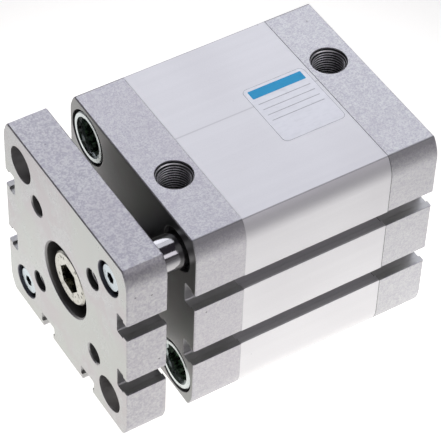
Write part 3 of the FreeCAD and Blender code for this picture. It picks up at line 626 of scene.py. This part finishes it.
def thread_piece(name, body, finish, holes, thread, length):
    """The ridges of like threads as one mesh.

    holes holds (inner end, axis) pairs, and thread the wall's radius, the pitch and the height.
    """
    wall, pitch, height = thread
    mesh = bpy.data.meshes.new(name + "_holes")
    mesh.from_pydata([inner for inner, axis in holes], [], [])
    axes = mesh.attributes.new("hole_axis", "FLOAT_VECTOR", "POINT")
    for item, (inner, axis) in zip(axes.data, holes):
        item.vector = axis
    carrier = bpy.data.objects.new(name + "_carrier", mesh)
    bpy.context.scene.collection.objects.link(carrier)
    modifier = carrier.modifiers.new("threads", "NODES")
    modifier.node_group = THREADS
    values = {"Wall radius": wall, "Pitch": pitch, "Ridge height": height,
              "Turns": (length - pitch) / pitch, "Sunk": 0.05 * MM, "Finish": finish}
    for item in THREADS.interface.items_tree:
        if item.name in values:
            modifier[item.identifier] = values[item.name]
    bpy.context.view_layer.update()
    ready = carrier.evaluated_get(bpy.context.evaluated_depsgraph_get())
    plain = bpy.data.meshes.new_from_object(ready)
    bpy.data.objects.remove(carrier)
    settle(name, plain, body)


def port_threads():
    """Parallel pipe threads in the two air ports."""
    start = BODY_TOP - PORT_DEPTH + PORT_THREAD_START
    holes = [((port["pos_m"][0], port["pos_m"][1], start), port["axis"])
             for port in (FRONT_PORT, REAR_PORT)]
    thread_piece("port_threads", "housing", CUT_ALUMINIUM, holes,
                 PIPE_THREAD, PORT_THREAD_LENGTH)


def collar_threads(name, socket_floor, axis, corners):
    """M8 threads inside collar screws, inwards from the floors of their sockets."""
    back = Vector(axis) * COLLAR_HOLE_DEPTH
    holes = [(tuple(Vector((socket_floor, y, z)) - back), axis) for y, z in corners]
    thread_piece(name, "housing", CUT_STEEL, holes,
                 M8_THREAD, COLLAR_THREAD_LENGTH)


def plate_threads():
    """M6 threads through the yoke plate, on one diagonal."""
    start = PLATE_LOW.x + PLATE_THREAD_START
    holes = [((start, side * TAPPED, side * TAPPED), (1, 0, 0)) for side in (-1, 1)]
    thread_piece("plate_threads", "carriage", OILED_AND_SHADED_CUT, holes,
                 M6_THREAD, PLATE_HIGH.x - PLATE_LOW.x - PLATE_THREAD_FREE)


# ---- blank label -----------------------------------------------------------------------------
def rounded_plate(builder, low, high, radius, bottom, top, material_index, steps=6):
    """A thin plate with round corners, added to a bmesh: low and high are its (x, y) corners."""
    outline = []
    centres = ((high[0], high[1]), (low[0], high[1]), (low[0], low[1]), (high[0], low[1]))
    for quarter, (x, y) in enumerate(centres):
        cx = x - math.copysign(radius, x - (low[0] + high[0]) / 2)
        cy = y - math.copysign(radius, y - (low[1] + high[1]) / 2)
        for step in range(steps + 1):
            angle = (quarter + step / steps) * math.pi / 2
            outline.append((cx + radius * math.cos(angle), cy + radius * math.sin(angle)))
    lower = [builder.verts.new((x, y, bottom)) for x, y in outline]
    upper = [builder.verts.new((x, y, top)) for x, y in outline]
    faces = [builder.faces.new(upper), builder.faces.new(lower[::-1])]
    for here in range(len(outline)):
        after = (here + 1) % len(outline)
        faces.append(builder.faces.new((lower[here], lower[after], upper[after], upper[here])))
    for face in faces:
        face.material_index = material_index


def blank_label():
    """A type label left blank: a white film with a plain blue band and empty ruled fields."""
    white, blue, grey = range(3)
    film = 0.03 * MM
    rim = 0.15 * MM
    left, right, near, far = 16.1 * MM, 35.4 * MM, -9.5 * MM, 12.4 * MM
    foot, print_top = BODY_TOP - film, BODY_TOP + film * 0.9
    band_side, band_near, band_far = 1.2 * MM, 1.0 * MM, 4.2 * MM
    line_side, first_line, line_step, line_width = 1.4 * MM, 6.4 * MM, 2.3 * MM, 0.22 * MM
    builder = bmesh.new()
    rounded_plate(builder, (left - rim, near - rim), (right + rim, far + rim),
                  1.6 * MM, foot, BODY_TOP + film * 0.2, grey)
    rounded_plate(builder, (left, near), (right, far),
                  1.5 * MM, foot, BODY_TOP + film * 0.6, white)
    rounded_plate(builder, (left + band_side, near + band_near),
                  (right - band_side, near + band_far), 0.3 * MM, BODY_TOP, print_top, blue)
    for number in range(4):
        y = near + first_line + line_step * number
        rounded_plate(builder, (left + line_side, y), (right - line_side, y + line_width),
                      0.05 * MM, BODY_TOP, print_top, grey, steps=2)
    mesh = bpy.data.meshes.new("blank_label")
    builder.normal_update()
    builder.to_mesh(mesh)
    builder.free()
    for film_finish in (LABEL_WHITE, LABEL_BLUE, LABEL_GREY):
        mesh.materials.append(film_finish)
    settle("blank_label", mesh, "housing")


SCREW_DIAGONAL = ((-CORNER, CORNER), (CORNER, -CORNER))
GUIDE_DIAGONAL = ((CORNER, CORNER), (-CORNER, -CORNER))
port_threads()
collar_threads("front_collar_threads", BODY_FRONT - COLLAR_SOCKET_FLOOR, (1, 0, 0), SCREW_DIAGONAL)
collar_threads("rear_collar_threads", COLLAR_SOCKET_FLOOR, (-1, 0, 0),
               SCREW_DIAGONAL + GUIDE_DIAGONAL)
plate_threads()
blank_label()


# ---- studio ----------------------------------------------------------------------------------
def studio_floor():
    """A near-white table under the lowest point that glows: a painted pool of light round the part,
    fading to a faint glow.
    """
    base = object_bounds()[0].z
    reach = 3.0
    pool_radius, pool_glow, far_glow = 0.178, 1.09, 0.07
    corners = [(-reach, -reach, base), (reach, -reach, base), (reach, reach, base),
               (-reach, reach, base)]
    mesh = bpy.data.meshes.new("studio_floor")
    mesh.from_pydata(corners, [], [(0, 1, 2, 3)])
    material, tree, shader, place = finish_base("white_table", 0.0, Roughness=0.6)
    shader.inputs["Base Color"].default_value = (0.52, 0.52, 0.52, 1.0)
    shader.inputs["Emission Color"].default_value = (1.0, 0.985, 0.955, 1.0)
    away = add_node(tree, "ShaderNodeVectorMath", {0: place, 1: (0.05, 0.0, base)},
                    operation="DISTANCE").outputs["Value"]
    # the emission is a painted pool of light round the part, over a faint even glow
    spread = times(tree, away, 1.0 / pool_radius)
    pool = maths(tree, "EXPONENT", times(tree, times(tree, spread, spread), -1.0))
    glow = maths(tree, "MULTIPLY_ADD", pool, pool_glow, far_glow)
    haze = between(tree, noise(tree, place, 3.0, 2.0), 0.3, 0.7, 0.0, 0.02)
    connect(tree, shader.inputs["Emission Strength"], maths(tree, "ADD", glow, haze))
    mesh.materials.append(material)
    floor = bpy.data.objects.new("studio_floor", mesh)
    bpy.context.scene.collection.objects.link(floor)
    floor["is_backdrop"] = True


def soft_light(name, place, size, power, tint=(1.0, 1.0, 1.0)):
    """A rectangular light that looks at the middle of the part."""
    data = bpy.data.lights.new(name, "AREA")
    data.shape = "RECTANGLE"
    data.size, data.size_y = size
    data.energy = power
    data.color = tint
    lamp = bpy.data.objects.new(name, data)
    lamp.location = place
    lamp.rotation_mode = "QUATERNION"
    aim = Vector((0.045, 0.0, 0.0)) - Vector(place)
    lamp.rotation_quaternion = aim.to_track_quat("-Z", "Y")
    bpy.context.scene.collection.objects.link(lamp)


def surroundings(horizon, overhead):
    """The room round the table: pale at the horizon and dim above."""
    world = bpy.data.worlds.new("studio_room")
    world.use_nodes = True
    tree = world.node_tree
    direction = add_node(tree, "ShaderNodeTexCoord").outputs["Generated"]
    height = between(tree, parts_of(tree, direction)[2], 0.05, 0.45)
    connect(tree, tree.nodes["Background"].inputs["Color"],
            blend(tree, height, horizon, overhead))
    bpy.context.scene.world = world


def camera():
    """A long lens that looks down on the plate, the top and the side of the part."""
    data = bpy.data.cameras.new("camera")
    data.lens = 184.7
    data.sensor_width = 36.0
    data.clip_start = 0.01
    data.clip_end = 20.0
    eye = bpy.data.objects.new("camera", data)
    right = Vector((-0.8503, 0.5255, 0.0282))
    ahead = Vector((-0.3763, -0.5696, -0.7307))
    up = right.cross(ahead)
    turn = Matrix((right.normalized(), up.normalized(), (-ahead).normalized())).transposed()
    eye.matrix_world = Matrix.Translation((0.2807, 0.3543, 0.4526)) @ turn.to_4x4()
    bpy.context.scene.collection.objects.link(eye)
    bpy.context.scene.camera = eye


COOL = (0.92, 0.935, 1.0)
studio_floor()
surroundings((0.20, 0.19, 0.20, 1.0), (0.04, 0.035, 0.045, 1.0))
soft_light("upper_softbox", (-0.52, -0.66, 1.65), size=(3.6, 0.62), power=8.6, tint=COOL)
soft_light("back_softbox", (-0.80, -1.37, 0.98), size=(3.6, 0.92), power=19.8, tint=COOL)
soft_light("side_softbox", (-0.40, 0.92, 0.72), size=(1.1, 0.42), power=2.1,
           tint=(0.97, 0.94, 1.0))
soft_light("front_fill", (0.55, 0.75, 0.92), size=(1.3, 0.9), power=1.4)
camera()
bpy.context.scene.view_settings.view_transform = "Standard"
